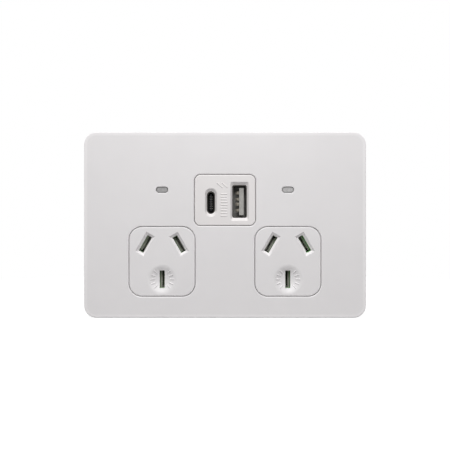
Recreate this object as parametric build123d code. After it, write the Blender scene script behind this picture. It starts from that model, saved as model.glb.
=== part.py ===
from build123d import *
import os
from math import asin, atan, cos, degrees, radians, sin, tan

# A flush double wall outlet with a USB charger between its two sockets.
# Lengths are in millimetres. X runs to the right, Y into the wall and Z up.
# The wall is at Y = 0, and the origin is midway between the two fixing holes.

# Cover plate
PLATE_W = 114.0
PLATE_H = 75.0
PLATE_CORNER = 5.0
PROJECTION = 7.5  # from the wall to the front of the plate
PLATE_EDGE = 0.4  # rounding round the front
SKIN = 2.0  # front wall
SKIRT = 1.8  # side wall
SKIRT_LIFT = 0.3  # the side wall stops short of the wall by this
SEAM = 0.16  # gap round everything that shows through the plate
SEAM_EDGE = 0.45  # rounding along the seams
SOFT_EDGE = 0.35  # rounding of the other small moulded edges
PRY_X = 30.0  # notches under the plate for a screwdriver
PRY_W = 8.0
PRY_D = 1.2

# Clip legs of the cover plate
CLIP_INSET = 9.0  # from the side of the plate to the middle of a leg
CLIP_RISE = 20.0
CLIP_W = 8.0
CLIP_T = 1.5
CLIP_SHOULDER = 1.0  # what each leg's foot is wider than the leg, all round
CLIP_PLAY = 0.2
CLIP_LIFT = 0.6

# Grid frame, screwed to the wall
GRID_T = 3.0
GRID_PLAY = 0.8
FIXING_PITCH = 84.0
FIXING_W = 4.2
FIXING_L = 7.0

# Outlet faces
SOCKET_PITCH = 50.9
BOSS_W = 26.6
BOSS_H = 28.0
BOSS_CORNER = 5.2
BOSS_Z = -14.8
BOSS_FACE = 2.2
BOSS_WALL = 1.8

# Plug pins and their slots
PIN_W = 6.35
PIN_T = 1.63
EARTH_PIN = 20.0
LINE_PITCH = 13.72
LINE_ANGLE = 30.0
LINE_RISE = 7.06  # the slanted pins' middle above the middle of the outlet face
EARTH_DROP = 14.27  # the earth pin's middle below the slanted pins'
SLOT_END_PLAY = 0.42
SLOT_SIDE_PLAY = 0.24
LEAD_IN = 1.0
LEAD_DEPTH = 1.2
DISH_R = 5.3
DISH_DEPTH = 1.4
DISH_RIM = 3.0  # rounding round the dish
TICK_R = 0.3
TICK_L = 1.9
TICK_AT = 4.0  # from the middle of the dish
TICK_RAISE = 0.22
TICK_STEP = 24.0  # degrees between the dish's ticks
TICKS_A_SIDE = 5

# Pin guides behind the outlet faces
GUIDE_PLATE_T = 1.5
GUIDE_WALL = 0.8
GUIDE_FIT = 0.1
GUIDE_TAPER = 0.15  # what a tube narrows by on each side
GUIDE_GAP = 0.4  # from the ends of the guides to the lips of the jaws

# Jaws that grip the pins
SHEET = 0.6
JAW_W = 6.5
EARTH_JAW_W = 9.0
JAW_HALF = 1.8
JAW_PINCH = 0.65
JAW_LIP = 1.75
JAW_SHOULDER = 7.0  # from the board to the bend of a leaf
JAW_PINCH_RISE = 11.6
JAW_LIP_RISE = 13.2
JAW_ROOM = 0.6  # from a jaw to the wall of the body

# Body behind the plate
BODY_WALL = 1.5
BODY_CORNER = 3.0
BOARD_Y = 11.0  # front of the board
BOARD_T = 1.6
BOARD_PLAY = 0.3
BOARD_CORNER = 2.0
POST_R = 3.0
POST_LAP = 0.5  # of a corner post into the walls beside it
SCREW_R = 1.25
SCREW_PLAY = 0.1
SCREW_L = 15.0
SCREW_HEAD_R = 2.3
SCREW_HEAD_T = 1.7
SCREW_SEAT = 5.4  # from the back of the board to the screw heads

# Back of the housing
BACK_EDGE = 0.9  # rounding round the back
PANEL_W = 48.0  # bare sunken panel
PANEL_H = 20.0
PANEL_RISE = 9.0
PANEL_CORNER = 1.5
PANEL_IN = 0.4
EJECTOR_R = 2.0  # round marks where pins push the moulding out of its mould
EJECTOR_OUT = 31.0
EJECTOR_RISE = 9.0
EJECTOR_IN = 0.15
GAUGE_R = 0.9  # groove for measuring a wire's bare end
GAUGE_L = 10.0
GAUGE_X = 21.0
ACCESS_RIM = 0.5  # slope round the holes over the clamp screws

# Follower pushed by the earth pin
NOSE_OUT = 1.7  # in front of the board
NOSE_T = 2.0
NOSE_W = 6.8
NOSE_PLAY = 0.25
FLANGE_T = 1.2
FLANGE_LAP = 2.0
FLANGE_GAP = 0.15
TAIL_L = 1.8
TAIL_R = 1.2
TAIL_W = 3.0
TOUCH_GAP = 0.2

# Snap switch behind each follower
LEVER_REACH = 13.5  # from the pivot to the follower
LEVER_END = 2.5
LEVER_T = 0.4
LEVER_W = 3.6
PIVOT_R = 0.55
PIVOT_PLAY = 0.07
LUG_T = 1.2
LUG_R = 1.1
SWITCH_W = 6.4
SWITCH_L = 20.0
SWITCH_H = 10.2
SWITCH_TOP = 3.5  # body above the pivot
SWITCH_EDGE = 0.4
BUTTON_REACH = 4.0
BUTTON_L = 1.8
BUTTON_W = 2.8
BUTTON_IN = 1.0
BUTTON_PLAY = 0.15
LEG_T = 0.6
LEG_W = 3.0
LEG_OUT = 1.4
LEG_RISE = 3.5
LEG_PITCH = 7.0
RIB_T = 1.2
RIB_H = 4.0
RIB_PLAY = 0.15

# Terminals
TERMINAL_PITCH = 8.0
TERMINAL_W = 6.4
TERMINAL_D = 9.0
TERMINAL_H = 9.0
TERMINAL_EDGE = 0.4
WIRE_R = 1.9
WIRE_IN = 3.5  # from the front of a terminal to the middle of its wire hole
WIRE_ROOM = 0.7
TAIL_STRIP_W = 3.0
TAIL_STRIP_T = 1.0
CLAMP_R = 1.9
CLAMP_PLAY = 0.1
CLAMP_LIFT = 0.5
CLAMP_HEAD_R = 2.6
CLAMP_HEAD_T = 1.6
CLAMP_ROOM = 2.4  # behind the terminals, for the screw heads
CLAMP_SLOT = 0.8
ACCESS_PLAY = 0.25

# USB insert and its two receptacles
USB_W = 24.6
USB_H = 20.5
USB_CORNER = 2.4
USB_Z = 10.04
USB_SKIN = 2.0
USB_WALL = 1.2
USB_SHOULDER = 1.0
USB_FIT = 0.1
PORT_BEVEL_DEPTH = 1.0
PORT_BEVEL_SIDE = 0.75
PORT_BEVEL_END = 1.25
PORT_FIT = 0.1
PORT_LIP = 0.3  # shells stand back from the bottom of the bevel by this
USB_A_X = 5.9
USB_A_DROP = 0.5
USB_A_W = 5.7
USB_A_H = 13.1
USB_A_CORNER = 0.6
USB_C_X = -5.7
USB_C_DROP = 0.95
USB_C_W = 3.16
USB_C_H = 8.94
SHELL_T = 0.3
SHELL_FIT = 0.05
TONGUE_BACK = 0.8  # tongues stand back from the shells' rims by this
USB_A_BLOCK = 8.5  # depth of the solid part behind the USB-A tongue
USB_A_TONGUE_T = 1.84
USB_A_TONGUE_W = 11.1
USB_A_TONGUE_SHIFT = 0.78
USB_A_SPRING_W = 1.1
USB_A_SPRING_T = 0.25
USB_A_SPRING_BULGE = 1.2
USB_A_SPRING_CREST = 2.2  # from the tip of the tongue
USB_A_OUTER = 3.5
USB_A_INNER = 1.0
USB_C_BLOCK = 11.0
USB_C_TONGUE_T = 0.7
USB_C_TONGUE_W = 6.7
USB_C_PADS = 6
USB_C_PAD_PITCH = 0.95
USB_C_PAD_W = 0.45
USB_C_PAD_T = 0.08
MARK_X = -0.4
MARK_DROP = 1.9
MARK_W = 2.8
MARK_T = 0.55
MARK_RAISE = 0.2
MARK_PITCH = 1.1
MARKS = 9
STROKE_X = -1.15
STROKE_RISE = 6.05
STROKE_PITCH = 2.0
STROKE_L = 3.2
STROKE_ANGLE = -42.0

# Lamps
LAMP_RISE = 14.2
LENS_W = 4.6
LENS_H = 2.15
LENS_GAP = 0.12
LENS_RECESS = 0.25
LENS_FLANGE = 1.1
LENS_FLANGE_T = 0.9
LENS_STEM_GAP = 0.15
LAMP_GAP = 0.4
LED_W = 3.0
LED_H = 2.0
LED_T = 1.6

# Charger parts on the back of the board
CORE_W = 16.0
CORE_H = 13.0
CORE_D = 5.0
CORE_LEG = 4.8
CORE_BACK = 2.6
WINDING_PLAY = 0.3
WINDING_D = 11.0
WINDING_EDGE = 1.2
BOBBIN_T = 1.0
BOBBIN_LIFT = 1.2
TRANSFORMER_X = -3.0
TRANSFORMER_Z = 3.5
INPUT_CAN_R = 4.0
INPUT_CAN_L = 13.0
INPUT_CAN_X = -13.5
INPUT_CAN_PITCH = 9.0
INPUT_CAN_Z = 19.0
OUTPUT_CAN_R = 3.15
OUTPUT_CAN_L = 11.0
OUTPUT_CAN_X = 13.0
OUTPUT_CAN_PITCH = 8.0
OUTPUT_CAN_Z = 18.0
CAN_GROOVE = 0.35
CAN_GROOVE_AT = 2.0
CAN_EDGE = 0.6
X_CAP_W = 6.0
X_CAP_H = 13.0
X_CAP_L = 11.0
X_CAP_X = -29.0
X_CAP_Z = 7.0
DISC_T = 2.8
DISC_LIFT = 1.5
LEAD_R = 0.4
VARISTOR_R = 4.0
VARISTOR_X = -17.5
VARISTOR_Z = 6.0
Y_CAP_R = 3.4
Y_CAP_X = 12.5
Y_CAP_Z = -4.0
FUSE_R = 1.7
FUSE_L = 7.0
FUSE_X = -16.5
FUSE_Z = -5.0
BRIDGE_W = 8.0
BRIDGE_H = 6.4
BRIDGE_T = 2.6
BRIDGE_X = -1.0
BRIDGE_Z = 19.0
CHOKE_R = 4.0
CHOKE_L = 6.0
CHOKE_WAIST = 1.0
CHOKE_RIM = 1.0
CHOKE_X = 16.5
CHOKE_Z = 6.0
CHIP_W = 4.9
CHIP_H = 3.9
CHIP_T = 1.5
PRIMARY_CHIP_X = 3.0
PRIMARY_CHIP_Z = -12.0
CHARGE_CHIP_X = 28.0
CHARGE_CHIP_Z = 8.0

# Places that follow from these sizes
front = -PROJECTION
skin_back = front + SKIN
grid_front = -GRID_T
board_back = BOARD_Y + BOARD_T
socket_x = SOCKET_PITCH / 2
line_z = BOSS_Z + LINE_RISE
earth_z = line_z - EARTH_DROP
slot_w = PIN_T + 2 * SLOT_SIDE_PLAY
slot_l = PIN_W + 2 * SLOT_END_PLAY
lean = radians(LINE_ANGLE)
guide_front = front + BOSS_FACE
guide_back = BOARD_Y - JAW_LIP_RISE - GUIDE_GAP
jaw_edge = JAW_HALF + SHEET / 2
jaw_reach = jaw_edge * cos(lean) + JAW_W / 2 * sin(lean)
body_half_w = socket_x + LINE_PITCH / 2 + jaw_reach + JAW_ROOM  # inside the wall
body_half_h = EARTH_JAW_W / 2 - earth_z + JAW_ROOM
post_x = body_half_w - POST_R + POST_LAP
post_z = body_half_h - POST_R + POST_LAP
screw_seat = board_back + SCREW_SEAT
clip_x = PLATE_W / 2 - CLIP_INSET
lens_front = front + LENS_RECESS
shell_front = front + PORT_BEVEL_DEPTH + PORT_LIP
usb_a_z = USB_Z - USB_A_DROP
usb_c_z = USB_Z - USB_C_DROP

nose_front = BOARD_Y - NOSE_OUT
follower_travel = EARTH_PIN - PROJECTION - nose_front
flange_front = board_back + FLANGE_GAP
tail_end = flange_front + FLANGE_T + TAIL_L
tilt = atan(follower_travel / LEVER_REACH)  # of the lever at rest
pivot_y = tail_end + follower_travel + TOUCH_GAP + LEVER_T / 2
pivot_z = earth_z + LEVER_REACH
switch_front = pivot_y + LUG_R
switch_z = pivot_z + SWITCH_TOP - SWITCH_L / 2
button_near = BUTTON_REACH - BUTTON_L / 2
button_travel = button_near * tan(tilt)
button_top = pivot_y + LEVER_T / 2 + TOUCH_GAP - button_travel
body_back = switch_front + SWITCH_H  # inside the back wall
housing_back = body_back + BODY_WALL

terminal_back = body_back - CLAMP_ROOM
terminal_front = terminal_back - TERMINAL_D
terminal_z = TERMINAL_H / 2 - body_half_h
wire_y = terminal_front + WIRE_IN
SIDES = {"left": -1, "right": 1}


def slab(outline, near, far):
    """Solid with an outline drawn in X and Z, from depth near to depth far."""
    return extrude(Plane.XZ.offset(-far) * outline, amount=far - near)


def block(width, height, near, far, x=0.0, z=0.0):
    """Box centred on X and Z, from depth near to depth far."""
    return slab(Pos(x, z) * Rectangle(width, height), near, far)


def rod(radius, near, far, x=0.0, z=0.0):
    """Round rod along Y."""
    return slab(Pos(x, z) * Circle(radius), near, far)


def pill(width, height):
    """Outline with round ends, the longer way along Z if it is taller than wide."""
    if width > height:
        return SlotOverall(width, height)
    return SlotOverall(height, width, rotation=90)


def soften_front(solid, radius):
    """Round the edges of the face nearest to the viewer."""
    return fillet(solid.faces().sort_by(Axis.Y)[0].edges(), radius)


def funnel(mouth, throat, near, far):
    """Opening that narrows from its mouth at depth near to its throat at depth far."""
    return loft([Plane.XZ.offset(-far) * throat, Plane.XZ.offset(-near) * mouth], ruled=True)


def bent_sheet(path, width, thickness):
    """Sheet metal bent along a path of (across, depth) points, width wide along Z."""
    points = [Vector(across, depth) for across, depth in path]
    runs = [(b - a).normalized() for a, b in zip(points, points[1:])]
    normals = [Vector(-run.Y, run.X) for run in runs]
    befores = [normals[0]] + normals
    afters = normals + [normals[-1]]
    mitres = [(a + b) / (1 + a.dot(b)) * (thickness / 2) for a, b in zip(befores, afters)]
    one_side = [point + mitre for point, mitre in zip(points, mitres)]
    other_side = [point - mitre for point, mitre in zip(points, mitres)]
    outline = make_face(Polyline(*one_side, *reversed(other_side), close=True))
    return extrude(outline, amount=width / 2, both=True)


def corner_places():
    """The four corner posts."""
    return [(sx * post_x, sz * post_z) for sx in (-1, 1) for sz in (-1, 1)]


def ejector_places():
    """The four round marks on the back of the housing."""
    return [(sx * EJECTOR_OUT, sz * EJECTOR_RISE) for sx in (-1, 1) for sz in (-1, 1)]


def clip_places():
    """The four clip legs."""
    return [(sx * clip_x, sz * CLIP_RISE) for sx in (-1, 1) for sz in (-1, 1)]


def line_slots(x):
    """Places and leans of the two slanted pins of the outlet at x."""
    return [(x - LINE_PITCH / 2, -LINE_ANGLE), (x + LINE_PITCH / 2, LINE_ANGLE)]


def line_places(x):
    """The two slanted slots of the outlet at x, for an outline drawn in X and Z."""
    return [Pos(slot_x, line_z) * Rot(0, 0, turn) for slot_x, turn in line_slots(x)]


# Cover plate
def boss_outline(grow=0.0):
    return RectangleRounded(BOSS_W + 2 * grow, BOSS_H + 2 * grow, BOSS_CORNER + grow)


def usb_outline(grow=0.0):
    return RectangleRounded(USB_W + 2 * grow, USB_H + 2 * grow, USB_CORNER + grow)


def make_cover_plate():
    shell = slab(RectangleRounded(PLATE_W, PLATE_H, PLATE_CORNER), front, -SKIRT_LIFT)
    shell = soften_front(shell, PLATE_EDGE)
    hollow_corner = PLATE_CORNER - SKIRT
    hollow = RectangleRounded(PLATE_W - 2 * SKIRT, PLATE_H - 2 * SKIRT, hollow_corner)
    shell -= slab(hollow, skin_back, 0.0)
    for side in SIDES.values():
        shell -= slab(Pos(side * socket_x, BOSS_Z) * boss_outline(SEAM), front, 0.0)
    shell -= slab(Pos(0, USB_Z) * usb_outline(SEAM), front, 0.0)
    face = shell.faces().sort_by(Axis.Y)[0]
    rims = [edge for wire in face.inner_wires() for edge in wire.edges()]
    shell = fillet(rims, SEAM_EDGE)
    for side in SIDES.values():
        lamp_hole = pill(LENS_W + 2 * LENS_GAP, LENS_H + 2 * LENS_GAP)
        shell -= slab(Pos(side * socket_x, LAMP_RISE) * lamp_hole, front, 0.0)
    face = shell.faces().sort_by(Axis.Y)[0]
    holes = face.inner_wires().sort_by(SortBy.LENGTH)[: len(SIDES)]
    shell = fillet([edge for wire in holes for edge in wire.edges()], SOFT_EDGE)
    for x, z in clip_places():
        foot_w = CLIP_T + 2 * CLIP_SHOULDER
        foot_h = CLIP_W + 2 * CLIP_SHOULDER
        shell += block(foot_w, foot_h, skin_back, grid_front, x, z)
        shell += block(CLIP_T, CLIP_W, grid_front, -CLIP_LIFT, x, z)
    for side in SIDES.values():
        notch_front = -SKIRT_LIFT - PRY_D
        notch_z = (SKIRT - PLATE_H) / 2
        shell -= block(PRY_W, SKIRT, notch_front, -SKIRT_LIFT, side * PRY_X, notch_z)
    return shell


# Grid frame with the outlet faces and the front half of the body
def slot_outline(grow=0.0):
    return Rectangle(slot_w + 2 * grow, slot_l + 2 * grow)


def press_dish(boss, x):
    """Shallow round dish round the earth slot, with plain half-round ticks standing in it."""
    ball_r = (DISH_R**2 + DISH_DEPTH**2) / (2 * DISH_DEPTH)
    centre = Pos(x, front + DISH_DEPTH - ball_r, earth_z)
    boss -= centre * Sphere(ball_r)
    rim = boss.edges().filter_by(GeomType.CIRCLE).sort_by(SortBy.RADIUS)[-1]
    boss = fillet(rim, DISH_RIM)
    first = (1 - TICKS_A_SIDE) / 2 * TICK_STEP
    slope = degrees(asin(TICK_AT / ball_r))
    lie = Pos(0, ball_r + TICK_R - TICK_RAISE, 0) * Rot(0, 90, 0)
    for side in SIDES.values():
        for number in range(TICKS_A_SIDE):
            aim = Rot(0, first + number * TICK_STEP, 0) * Rot(0, 0, -side * slope)
            boss += centre * aim * lie * Cylinder(TICK_R, TICK_L)
    return boss


def make_outlet(x):
    """One outlet face: a hollow boss with its slots."""
    boss = slab(Pos(x, BOSS_Z) * boss_outline(), front, 0.0)
    boss = soften_front(boss, SEAM_EDGE)
    boss = press_dish(boss, x)
    for place in line_places(x):
        throat = place * slot_outline()
        boss -= slab(throat, front, 0.0)
        boss -= funnel(place * slot_outline(LEAD_IN), throat, front, front + LEAD_DEPTH)
    boss -= slab(Pos(x, earth_z) * slot_outline(), front, 0.0)
    return boss


def hollow_outline(shrink=0.0):
    hollow_w = BOSS_W - 2 * (BOSS_WALL + shrink)
    hollow_h = BOSS_H - 2 * (BOSS_WALL + shrink)
    return RectangleRounded(hollow_w, hollow_h, BOSS_CORNER - BOSS_WALL - shrink)


def body_ring(near, far):
    """Wall of the body between two depths."""
    width = 2 * (body_half_w + BODY_WALL)
    height = 2 * (body_half_h + BODY_WALL)
    outside = slab(RectangleRounded(width, height, BODY_CORNER), near, far)
    inside_corner = BODY_CORNER - BODY_WALL
    inside = RectangleRounded(2 * body_half_w, 2 * body_half_h, inside_corner)
    return outside - slab(inside, near, far)


def make_grid_frame():
    margin = SKIRT + GRID_PLAY
    corner = PLATE_CORNER - margin
    outline = RectangleRounded(PLATE_W - 2 * margin, PLATE_H - 2 * margin, corner)
    grid = slab(outline, grid_front, 0.0)
    for side in SIDES.values():
        grid += make_outlet(side * socket_x)
    for side in SIDES.values():
        grid -= slab(Pos(side * socket_x, BOSS_Z) * hollow_outline(), guide_front, 0.0)
        stem_hole = pill(LENS_W + 2 * LENS_STEM_GAP, LENS_H + 2 * LENS_STEM_GAP)
        grid -= slab(Pos(side * socket_x, LAMP_RISE) * stem_hole, grid_front, 0.0)
        grid -= slab(Pos(side * FIXING_PITCH / 2, 0) * pill(FIXING_L, FIXING_W), grid_front, 0.0)
    grid -= slab(Pos(0, USB_Z) * usb_outline(USB_FIT - USB_SHOULDER), grid_front, 0.0)
    for x, z in clip_places():
        grid -= block(CLIP_T + 2 * CLIP_PLAY, CLIP_W + 2 * CLIP_PLAY, grid_front, 0.0, x, z)
    grid += body_ring(0.0, board_back)
    for x, z in corner_places():
        grid += rod(POST_R, 0.0, BOARD_Y, x, z)
    for x, z in corner_places():
        screw_tip = screw_seat - SCREW_L
        grid -= rod(SCREW_R + SCREW_PLAY, screw_tip - SCREW_R, BOARD_Y, x, z)
    return grid


# Pin guides
def make_pin_guide(side):
    """Moulding behind an outlet face, with a tapering tube that leads each pin into its jaw."""
    x = side * socket_x
    plate_back = guide_front + GUIDE_PLATE_T
    guide = slab(Pos(x, BOSS_Z) * hollow_outline(GUIDE_FIT), guide_front, plate_back)
    places = line_places(x) + [Pos(x, earth_z)]
    for place in places:
        guide += slab(place * slot_outline(GUIDE_WALL), plate_back, guide_back)
    for place in places:
        mouth = place * slot_outline()
        guide -= funnel(mouth, place * slot_outline(-GUIDE_TAPER), guide_front, guide_back)
    return guide


# USB insert
def usb_a_outline(grow=0.0):
    corner = USB_A_CORNER + grow
    return RectangleRounded(USB_A_W + 2 * grow, USB_A_H + 2 * grow, corner)


def usb_a_mouth():
    width = USB_A_W + 2 * (PORT_FIT + PORT_BEVEL_SIDE)
    height = USB_A_H + 2 * (PORT_FIT + PORT_BEVEL_END)
    return RectangleRounded(width, height, USB_A_CORNER + PORT_FIT)


def usb_c_outline(grow=0.0):
    return pill(USB_C_W + 2 * grow, USB_C_H + 2 * grow)


def usb_c_mouth():
    width = USB_C_W + 2 * (PORT_FIT + PORT_BEVEL_SIDE)
    height = USB_C_H + 2 * (PORT_FIT + PORT_BEVEL_END)
    return pill(width, height)


def raised_bar(place, length):
    """Small raised bar with sloping sides, its root sunk into the face."""
    flank = 2 * MARK_RAISE
    top = place * Rectangle(length - flank, MARK_T - flank)
    root = place * Rectangle(length + flank, MARK_T + flank)
    return funnel(top, root, front - MARK_RAISE, front + MARK_RAISE)


def make_usb_face():
    body = slab(Pos(0, USB_Z) * usb_outline(), front, grid_front)
    body = soften_front(body, SEAM_EDGE)
    body += slab(Pos(0, USB_Z) * usb_outline(-USB_SHOULDER), grid_front, 0.0)
    inner = USB_SHOULDER + USB_WALL
    body -= slab(Pos(0, USB_Z) * usb_outline(-inner), front + USB_SKIN, 0.0)
    ports = [
        (Pos(USB_A_X, usb_a_z), usb_a_mouth(), usb_a_outline(PORT_FIT)),
        (Pos(USB_C_X, usb_c_z), usb_c_mouth(), usb_c_outline(PORT_FIT)),
    ]
    for place, mouth, opening in ports:
        body -= slab(place * opening, front, grid_front)
        body -= funnel(place * mouth, place * opening, front, front + PORT_BEVEL_DEPTH)
    for number in range(MARKS):
        mark_z = USB_Z - MARK_DROP + (number - (MARKS - 1) / 2) * MARK_PITCH
        body += raised_bar(Pos(MARK_X, mark_z), MARK_W)
    for side in SIDES.values():
        stroke_x = STROKE_X + side * STROKE_PITCH / 2
        body += raised_bar(Pos(stroke_x, USB_Z + STROKE_RISE) * Rot(0, 0, STROKE_ANGLE), STROKE_L)
    return body


# USB-A receptacle
def make_usb_a_shell():
    place = Pos(USB_A_X, usb_a_z)
    shell = slab(place * usb_a_outline(), shell_front, BOARD_Y)
    return shell - slab(place * usb_a_outline(-SHELL_T), shell_front, BOARD_Y)


def make_usb_a_insulator():
    place = Pos(USB_A_X, usb_a_z)
    block_front = BOARD_Y - USB_A_BLOCK
    body = slab(place * usb_a_outline(-SHELL_T - SHELL_FIT), block_front, BOARD_Y)
    tongue_front = shell_front + TONGUE_BACK
    tongue_x = USB_A_X + USB_A_TONGUE_SHIFT
    tongue = block(USB_A_TONGUE_T, USB_A_TONGUE_W, tongue_front, block_front, tongue_x, usb_a_z)
    return body + tongue


def make_usb_a_contacts():
    """Four spring strips along the tongue, each bulging out where it meets the plug."""
    contacts = Part()
    strip_x = USB_A_X + USB_A_TONGUE_SHIFT - (USB_A_TONGUE_T + USB_A_SPRING_T) / 2
    tongue_front = shell_front + TONGUE_BACK
    crest = tongue_front + USB_A_SPRING_CREST
    path = [
        (strip_x, BOARD_Y - USB_A_BLOCK),
        (strip_x, crest + USB_A_SPRING_CREST),
        (strip_x - USB_A_SPRING_BULGE, crest),
        (strip_x - USB_A_SPRING_T, tongue_front + USB_A_SPRING_T),
    ]
    for offset in (-USB_A_OUTER, -USB_A_INNER, USB_A_INNER, USB_A_OUTER):
        spring = bent_sheet(path, USB_A_SPRING_W, USB_A_SPRING_T)
        contacts += Pos(0, 0, usb_a_z + offset) * spring
    return contacts


# USB-C receptacle
def make_usb_c_shell():
    place = Pos(USB_C_X, usb_c_z)
    shell = slab(place * usb_c_outline(), shell_front, BOARD_Y)
    return shell - slab(place * usb_c_outline(-SHELL_T), shell_front, BOARD_Y)


def make_usb_c_insulator():
    place = Pos(USB_C_X, usb_c_z)
    block_front = BOARD_Y - USB_C_BLOCK
    body = slab(place * usb_c_outline(-SHELL_T - SHELL_FIT), block_front, BOARD_Y)
    tongue_front = shell_front + TONGUE_BACK
    tongue = block(USB_C_TONGUE_T, USB_C_TONGUE_W, tongue_front, block_front, USB_C_X, usb_c_z)
    return body + tongue


def make_usb_c_contacts():
    contacts = Part()
    pad_front = shell_front + 2 * TONGUE_BACK
    pad_back = BOARD_Y - USB_C_BLOCK
    for side in SIDES.values():
        pad_x = USB_C_X + side * (USB_C_TONGUE_T + USB_C_PAD_T) / 2
        for number in range(USB_C_PADS):
            pad_z = usb_c_z + (number - (USB_C_PADS - 1) / 2) * USB_C_PAD_PITCH
            contacts += block(USB_C_PAD_T, USB_C_PAD_W, pad_front, pad_back, pad_x, pad_z)
    return contacts


# Lamps
def make_light_pipe(side):
    place = Pos(side * socket_x, LAMP_RISE)
    lens = slab(place * pill(LENS_W, LENS_H), lens_front, BOARD_Y - LED_T - LAMP_GAP)
    flange = pill(LENS_W + 2 * LENS_FLANGE, LENS_H + 2 * LENS_FLANGE)
    return lens + slab(place * flange, grid_front - LENS_FLANGE_T, grid_front)


def make_indicator_led(side):
    return block(LED_W, LED_H, BOARD_Y - LED_T, BOARD_Y, side * socket_x, LAMP_RISE)


# Board and the jaws on it
def make_main_board():
    width = 2 * (body_half_w - BOARD_PLAY)
    height = 2 * (body_half_h - BOARD_PLAY)
    board = slab(RectangleRounded(width, height, BOARD_CORNER), BOARD_Y, board_back)
    for side in SIDES.values():
        hole_w = NOSE_T + 2 * NOSE_PLAY
        hole_h = NOSE_W + 2 * NOSE_PLAY
        board -= block(hole_w, hole_h, BOARD_Y, board_back, side * socket_x, earth_z)
    for x, z in corner_places():
        board -= rod(SCREW_R + SCREW_PLAY, BOARD_Y, board_back, x, z)
    return board


def jaw(width):
    """Folded spring jaw with its base on the board, gripping a pin that lies along Z."""
    base = BOARD_Y - SHEET / 2
    half = [
        (JAW_LIP, BOARD_Y - JAW_LIP_RISE),
        (JAW_PINCH, BOARD_Y - JAW_PINCH_RISE),
        (JAW_HALF, BOARD_Y - JAW_SHOULDER),
        (JAW_HALF, base),
    ]
    other_half = [(-across, depth) for across, depth in half]
    return bent_sheet(half + other_half[::-1], width, SHEET)


def make_line_jaw(slot_x, turn):
    return Pos(slot_x, 0, line_z) * Rot(0, -turn, 0) * jaw(JAW_W)


def make_earth_jaw(side):
    x = side * socket_x
    window = block(NOSE_T + 2 * NOSE_PLAY, NOSE_W + 2 * NOSE_PLAY, BOARD_Y - SHEET, BOARD_Y, x, earth_z)
    return Pos(x, 0, earth_z) * jaw(EARTH_JAW_W) - window


# Follower and snap switch
def make_pin_follower(side):
    x = side * socket_x
    nose = block(NOSE_T, NOSE_W, nose_front, flange_front, x, earth_z)
    nose = soften_front(nose, SOFT_EDGE)
    flange_w = NOSE_T + 2 * FLANGE_LAP
    flange = block(flange_w, EARTH_JAW_W, flange_front, flange_front + FLANGE_T, x, earth_z)
    tail_centre = tail_end - TAIL_R
    tail = block(TAIL_W, 2 * TAIL_R, flange_front, tail_centre, x, earth_z)
    tip = Pos(x, tail_centre, earth_z) * Rot(0, 90, 0) * Cylinder(TAIL_R, TAIL_W)
    return nose + flange + tail + tip


def make_switch_body(side):
    x = side * socket_x
    body = block(SWITCH_W, SWITCH_L, switch_front, body_back, x, switch_z)
    body = fillet(body.edges().filter_by(Axis.Y), SWITCH_EDGE)
    lug_gap = SWITCH_W - 2 * LUG_T
    lugs = block(SWITCH_W, 2 * LUG_R, pivot_y, switch_front + LUG_R, x, pivot_z)
    lugs += Pos(x, pivot_y, pivot_z) * Rot(0, 90, 0) * Cylinder(LUG_R, SWITCH_W)
    lugs -= block(lug_gap, 3 * LUG_R, pivot_y - LUG_R, switch_front, x, pivot_z)
    body += lugs
    body -= Pos(x, pivot_y, pivot_z) * Rot(0, 90, 0) * Cylinder(PIVOT_R + PIVOT_PLAY, SWITCH_W)
    pocket_w = BUTTON_W + 2 * BUTTON_PLAY
    pocket_h = BUTTON_L + 2 * BUTTON_PLAY
    pocket_back = switch_front + BUTTON_IN + button_travel + BUTTON_PLAY
    pocket_z = pivot_z - BUTTON_REACH
    body -= block(pocket_w, pocket_h, switch_front, pocket_back, x, pocket_z)
    return body


def make_switch_lever(side):
    """Flat lever on a round pivot, tilted towards the follower."""
    length = LEVER_REACH + LEVER_END
    arm = Pos(0, 0, -length / 2) * Box(LEVER_W, LEVER_T, length)
    pivot = Rot(0, 90, 0) * Cylinder(PIVOT_R, SWITCH_W)
    place = Pos(side * socket_x, pivot_y, pivot_z)
    return place * Rot(-degrees(tilt), 0, 0) * (arm + pivot)


def make_switch_button(side):
    x = side * socket_x
    button_z = pivot_z - BUTTON_REACH
    return block(BUTTON_W, BUTTON_L, button_top, switch_front + BUTTON_IN, x, button_z)


def make_switch_legs(side):
    """Three flat legs from the inner side of a switch to the board."""
    legs = Part()
    inner_x = side * (socket_x - SWITCH_W / 2)
    upright_x = inner_x - side * (LEG_OUT + LEG_T / 2)
    bar_w = LEG_OUT + LEG_T
    bar_x = inner_x - side * bar_w / 2
    leg_back = switch_front + LEG_RISE
    for step in (-1, 0, 1):
        leg_z = switch_z + step * LEG_PITCH
        legs += block(LEG_T, LEG_W, board_back, leg_back, upright_x, leg_z)
        legs += block(bar_w, LEG_W, leg_back - LEG_T, leg_back, bar_x, leg_z)
    return legs


# Terminals
def terminal_place(number):
    return number * TERMINAL_PITCH


def make_terminal(number):
    x = terminal_place(number)
    body = block(TERMINAL_W, TERMINAL_H, terminal_front, terminal_back, x, terminal_z)
    body = chamfer(body.edges(), TERMINAL_EDGE)
    strip = block(TAIL_STRIP_W, TAIL_STRIP_T, board_back, wire_y - WIRE_R, x, terminal_z)
    body += strip
    body -= Pos(x, wire_y, terminal_z) * Cylinder(WIRE_R, TERMINAL_H)
    body -= rod(CLAMP_R + CLAMP_PLAY, wire_y, terminal_back, x, terminal_z)
    return body


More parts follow.
